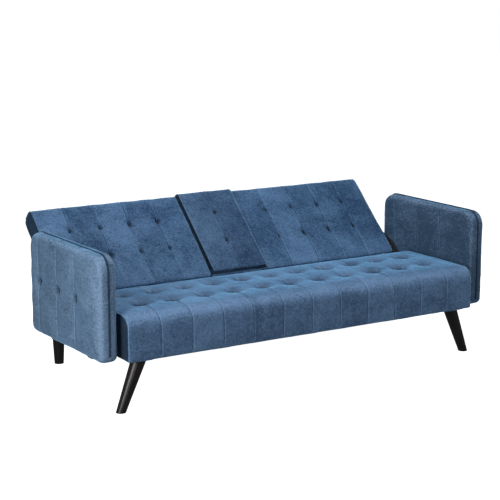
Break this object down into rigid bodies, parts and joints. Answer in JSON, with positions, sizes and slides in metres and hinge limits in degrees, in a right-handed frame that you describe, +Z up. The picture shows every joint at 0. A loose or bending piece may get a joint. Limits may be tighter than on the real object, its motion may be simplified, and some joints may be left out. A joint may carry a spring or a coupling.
{
  "type": "futon sofa bed",
  "caption": "Convertible sofa bed with a tufted velvet seat, a reclining back, a fold-down console with cup holders, padded arms and splayed tapered legs.",
  "frame": {"origin": "on the floor, under the middle of the footprint in the rest pose, which is the lounging position", "axes": "+X along the seat towards the sitter's left, +Y towards the back, +Z up"},
  "size_m": [1.884, 0.935, 0.6751],
  "materials": {
    "seat_velvet": "matte",
    "back_velvet": "matte",
    "arm_velvet": "matte",
    "console_velvet": "matte",
    "black_wood": "satin",
    "pine": "matte",
    "plywood": "matte",
    "black_steel": "satin",
    "zinc_steel": "satin",
    "spring_steel": "satin",
    "black_plastic": "satin",
    "lining": "matte"
  },
  "bodies": {
    "base": {"seat_upholstery": "seat_velvet", "seat_front_rail": "pine", "seat_rear_rail": "pine", "seat_end_rail_left": "pine", "seat_end_rail_right": "pine", "seat_centre_rail": "pine", "seat_spring_1": "spring_steel", "seat_spring_2": "spring_steel", "seat_spring_3": "spring_steel", "seat_spring_4": "spring_steel", "dust_cover": "lining", "rear_support_left": "black_steel", "rear_support_right": "black_steel", "rear_cross_tube": "black_steel", "leg_front_left": "black_wood", "leg_front_right": "black_wood", "leg_rear_left": "black_wood", "leg_rear_right": "black_wood", "leg_plate_front_left": "black_steel", "leg_plate_front_right": "black_steel", "leg_plate_rear_left": "black_steel", "leg_plate_rear_right": "black_steel", "arm_upholstery_left": "arm_velvet", "arm_upholstery_right": "arm_velvet", "arm_board_left": "plywood", "arm_board_right": "plywood", "arm_bracket_front_left": "black_steel", "arm_bracket_front_right": "black_steel", "arm_bracket_rear_left": "black_steel", "arm_bracket_rear_right": "black_steel", "arm_bolt_front_left": "zinc_steel", "arm_bolt_front_right": "zinc_steel", "arm_bolt_rear_left": "zinc_steel", "arm_bolt_rear_right": "zinc_steel", "hinge_seat_plate_left": "black_steel", "hinge_seat_plate_right": "black_steel", "hinge_pin_left": "zinc_steel", "hinge_pin_right": "zinc_steel"},
    "back": {"back_upholstery_left": "back_velvet", "back_upholstery_right": "back_velvet", "back_bottom_rail_left": "pine", "back_bottom_rail_right": "pine", "back_top_rail_left": "pine", "back_top_rail_right": "pine", "back_inner_stile_left": "pine", "back_inner_stile_right": "pine", "back_outer_stile_left": "pine", "back_outer_stile_right": "pine", "back_rear_cover": "back_velvet", "console_bay_board": "plywood", "hinge_back_plate_left": "black_steel", "hinge_back_plate_right": "black_steel", "console_pivot_left": "zinc_steel", "console_pivot_right": "zinc_steel"},
    "console": {"console_upholstery": "console_velvet", "console_lid": "plywood", "console_rail_left": "pine", "console_rail_right": "pine", "cup_holder_left": "black_plastic", "cup_holder_right": "black_plastic"}
  },
  "joints": [
    {"name": "back_recline", "type": "hinge", "parent": "base", "child": "back", "pos_m": [0, 0.11149, 0.3836], "axis": [1, 0, 0], "range_deg": [-43.3, 34.7]},
    {"name": "console_fold", "type": "hinge", "parent": "back", "child": "console", "pos_m": [0, 0.15224, 0.42201], "axis": [1, 0, 0], "range_deg": [0, 102]}
  ]
}
